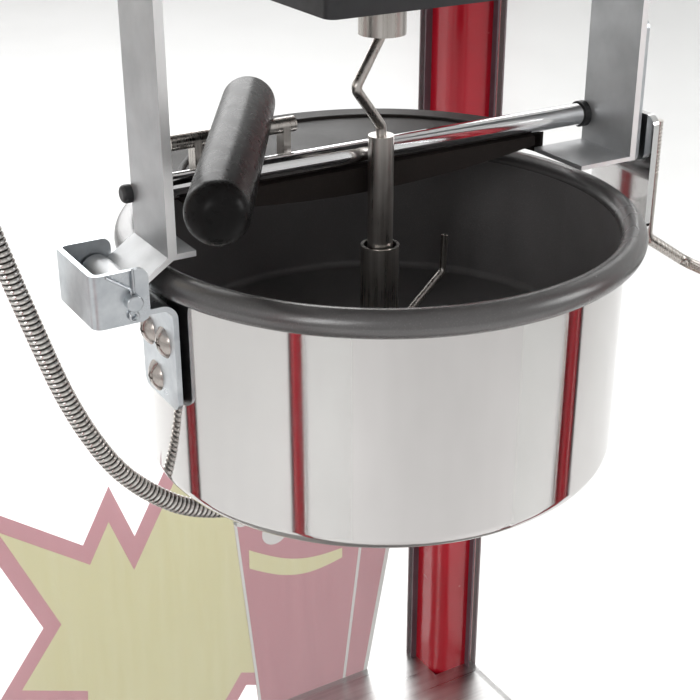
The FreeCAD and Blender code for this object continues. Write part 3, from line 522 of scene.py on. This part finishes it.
def tub_line(ends, width, side):
    """Narrow stripe between the tub's top and foot, to one side of a line."""
    top, low = ends
    reach = side * width
    outline = [(top, TUB_TOP), (top + reach, TUB_TOP), (low + reach, TUB_LOW), (low, TUB_LOW)]
    return outline[::side]


def disc(x, z, radius):
    turns = [-2 * math.pi * k / DISC_STEPS for k in range(DISC_STEPS)]
    return [(x + radius * math.cos(a), z + radius * math.sin(a)) for a in turns]


def add_prints():
    red = vinyl("film_red", (0.70, 0.28, 0.34), (0.76, 0.32, 0.38))
    yellow = vinyl("film_yellow", (0.95, 0.89, 0.50), (0.99, 0.94, 0.58))
    white = vinyl("film_white", (0.92, 0.91, 0.90), (0.97, 0.96, 0.95))
    film("burst_border", BURST, BACKING, red)
    film("burst_middle", inset(BURST, BORDER), MIDDLE_LAYER, yellow)
    tub = [(TUB_LEFT[0], TUB_TOP), (TUB_RIGHT[0], TUB_TOP),
           (TUB_RIGHT[1], TUB_LOW), (TUB_LEFT[1], TUB_LOW)]
    film("tub", tub, TUB_LAYER, red)
    for name, (ends, width, side) in TUB_LINES.items():
        film(name, tub_line(ends, width, side), DETAIL_LAYER, white)
    film("tub_band", crescent(), DETAIL_LAYER, yellow)
    kernel_films = {"white": (DETAIL_LAYER, white), "yellow": (FRONT_LAYER, yellow)}
    for number, (colour, x, z, radius) in enumerate(KERNELS, 1):
        film(f"tub_kernel_{number}", disc(x, z, radius), *kernel_films[colour])


add_prints()


# ---------------------------------------------------------------- floor, light and finish
FLOOR_HALF = 16
# Sky strength: the axis along which it changes, its two strengths, and the stretch where it changes.
SKY_CHANGES = ((1, 0.66, 1.0, -0.5, 0.5), (2, 1.0, 0.7, 0.3, 0.9))
# Place, size in metres and power in watts of the softboxes that point at the kettle.
SOFTBOXES = {
    "key": ((-2.2, -1.2, 2.1), 1.2, 34),
    "fill": ((2.1, -1.3, 1.9), 1.0, 24),
    "back": ((0.6, 2.6, 2.2), 2.0, 34),
}
FLOOR_WASH_PLACE, FLOOR_WASH_SIZE, FLOOR_WASH_POWER = Vector((1.0, 3.4, 3.0)), 4.0, 110


def add_stage():
    corners = [(x * FLOOR_HALF, y * FLOOR_HALF, 0) for x, y in ((-1, -1), (1, -1), (1, 1), (-1, 1))]
    floor = mesh_object("floor", corners, [(0, 1, 2, 3)])
    look = Look("floor")
    look.colour(look.blend(look.span(look.noise(3), 0, 1), (0.88, 0.88, 0.88), (0.92, 0.92, 0.92)))
    look.roughness(look.span(look.noise(8), 0.5, 0.6))
    floor.data.materials.append(look.material)


def softbox(name, place, target, size, power):
    data = bpy.data.lights.new(name, "AREA")
    data.size = size
    data.energy = power
    light = bpy.data.objects.new(name, data)
    light.location = place
    light.rotation_euler = (Vector(target) - Vector(place)).to_track_quat("-Z", "Y").to_euler()
    bpy.context.scene.collection.objects.link(light)


def studio_world():
    """Sky that is brightest behind the cart, and softer on the operator's side and overhead."""
    world = bpy.data.worlds.new("studio")
    world.use_nodes = True
    tree = world.node_tree
    background = tree.nodes["Background"]
    background.inputs["Color"].default_value = (1.0, 0.99, 0.98, 1)
    direction = tree.nodes.new("ShaderNodeTexCoord").outputs["Generated"]
    split = tree.nodes.new("ShaderNodeSeparateXYZ")
    tree.links.new(direction, split.inputs[0])
    strengths = []
    for axis, low, high, start, end in SKY_CHANGES:
        spread = tree.nodes.new("ShaderNodeMapRange")
        spread.inputs["From Min"].default_value = start
        spread.inputs["From Max"].default_value = end
        spread.inputs["To Min"].default_value = low
        spread.inputs["To Max"].default_value = high
        tree.links.new(split.outputs[axis], spread.inputs["Value"])
        strengths.append(spread.outputs[0])
    product = tree.nodes.new("ShaderNodeMath")
    product.operation = "MULTIPLY"
    tree.links.new(strengths[0], product.inputs[0])
    tree.links.new(strengths[1], product.inputs[1])
    tree.links.new(product.outputs[0], background.inputs["Strength"])
    bpy.context.scene.world = world


def add_light():
    studio_world()
    for name, (place, size, power) in SOFTBOXES.items():
        softbox(name, place, KETTLE, size, power)
    below = FLOOR_WASH_PLACE * Vector((1, 1, 0))
    softbox("floor_wash", FLOOR_WASH_PLACE, below, FLOOR_WASH_SIZE, FLOOR_WASH_POWER)
    bpy.context.scene.view_settings.view_transform = "Standard"


add_stage()
add_light()
